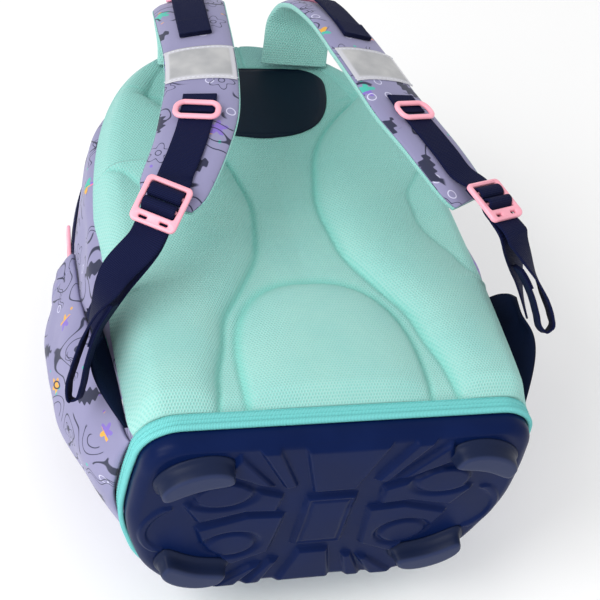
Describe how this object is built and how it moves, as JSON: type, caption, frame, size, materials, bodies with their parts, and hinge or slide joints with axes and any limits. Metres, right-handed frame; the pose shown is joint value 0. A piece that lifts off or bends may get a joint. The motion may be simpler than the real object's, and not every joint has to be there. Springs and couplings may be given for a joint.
{
  "type": "school backpack with moulded base",
  "caption": "Children's school backpack with a padded mesh back, curved shoulder straps, side pockets, front pocket and a moulded base with feet, lying on its front.",
  "frame": {"origin": "middle of the flat face of the front pocket, on which the bag lies", "axes": "+X across the bag, +Y from the base to the top, +Z out of the padded back"},
  "size_m": [0.3506, 0.4339, 0.3092],
  "materials": {
    "lilac_cloth": "matte woven polyester with a printed line pattern",
    "navy_cloth": "matte woven polyester",
    "webbing": "ribbed polyester webbing",
    "mint_mesh": "soft open spacer mesh over foam",
    "mint_binding": "woven binding tape",
    "dark_patch": "smooth coated patch, satin",
    "moulded_base": "moulded foam plastic, satin",
    "foot_plastic": "moulded plastic, satin",
    "pink_plastic": "moulded acetal, soft gloss",
    "reflective": "grey retroreflective tape under a clear film"
  },
  "bodies": {
    "root": {"back_shell": "lilac_cloth", "front_shell": "lilac_cloth", "main_zip": "webbing", "front_pocket": "lilac_cloth", "front_pocket_zip": "webbing", "base": "moulded_base", "base_binding": "mint_binding", "back_panel": "mint_mesh", "back_patch": "dark_patch", "grab_handle": "webbing", "main_pull_left": "pink_plastic", "main_pull_right": "pink_plastic", "foot_rear_left": "foot_plastic", "foot_rear_right": "foot_plastic", "foot_front_left": "foot_plastic", "foot_front_right": "foot_plastic", "side_pocket_left": "lilac_cloth", "side_gusset_left": "navy_cloth", "strap_cover_left": "lilac_cloth", "strap_lining_left": "mint_mesh", "reflective_band_left": "reflective", "strap_keeper_left": "webbing", "strap_loop_left": "pink_plastic", "strap_webbing_left": "webbing", "strap_buckle_left": "pink_plastic", "lower_webbing_left": "webbing", "lifter_webbing_left": "webbing", "lifter_buckle_left": "pink_plastic", "lifter_strand_left": "webbing", "side_pocket_right": "lilac_cloth", "side_gusset_right": "navy_cloth", "strap_cover_right": "lilac_cloth", "strap_lining_right": "mint_mesh", "reflective_band_right": "reflective", "strap_keeper_right": "webbing", "strap_loop_right": "pink_plastic", "strap_webbing_right": "webbing", "strap_buckle_right": "pink_plastic", "lower_webbing_right": "webbing", "lifter_webbing_right": "webbing", "lifter_buckle_right": "pink_plastic", "lifter_strand_right": "webbing"}
  },
  "joints": []
}
